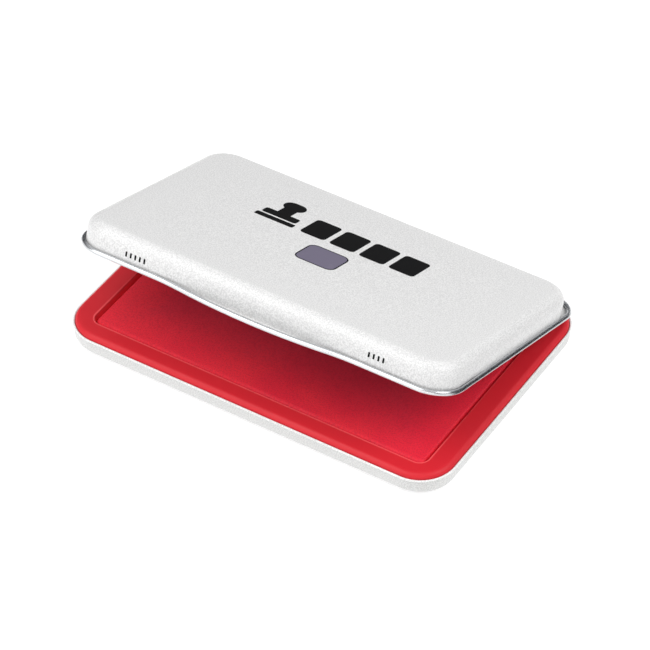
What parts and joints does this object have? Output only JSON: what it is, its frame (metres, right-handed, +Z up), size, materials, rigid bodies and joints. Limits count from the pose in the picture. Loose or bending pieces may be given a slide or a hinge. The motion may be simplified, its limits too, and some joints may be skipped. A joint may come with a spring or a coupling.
{
  "type": "ink pad",
  "caption": "Rectangular office stamp pad: a shallow white tin tray with a red moulded frame and inked cloth face, under a white tin lid with a curled rim on a back hinge.",
  "frame": {"origin": "centre of the tray's flat underside, on the table", "axes": "+X along the long side, +Y towards the hinge, +Z up"},
  "size_m": [0.12, 0.0816, 0.0387],
  "materials": {
    "tin_enamel": "satin white enamel, slightly pearly",
    "frame_plastic": "satin red moulding",
    "pan_plastic": "matte translucent white",
    "felt": "dense felt soaked with red ink",
    "sponge": "open foam soaked with red ink",
    "cloth": "fine plain weave soaked with red ink",
    "steel_wire": "drawn steel wire"
  },
  "bodies": {
    "base": {"base_tray": "tin_enamel", "pad_frame": "frame_plastic", "ink_pan": "pan_plastic", "felt_core": "felt", "sponge_layer": "sponge", "pad_cloth": "cloth", "hinge_wire": "steel_wire"},
    "lid": {"lid": "tin_enamel"}
  },
  "joints": [
    {"name": "lid_hinge", "type": "hinge", "parent": "base", "child": "lid", "pos_m": [0, 0.03984, 0.00795], "axis": [-1, 0, 0], "range_deg": [-18.5, 91.5]}
  ]
}
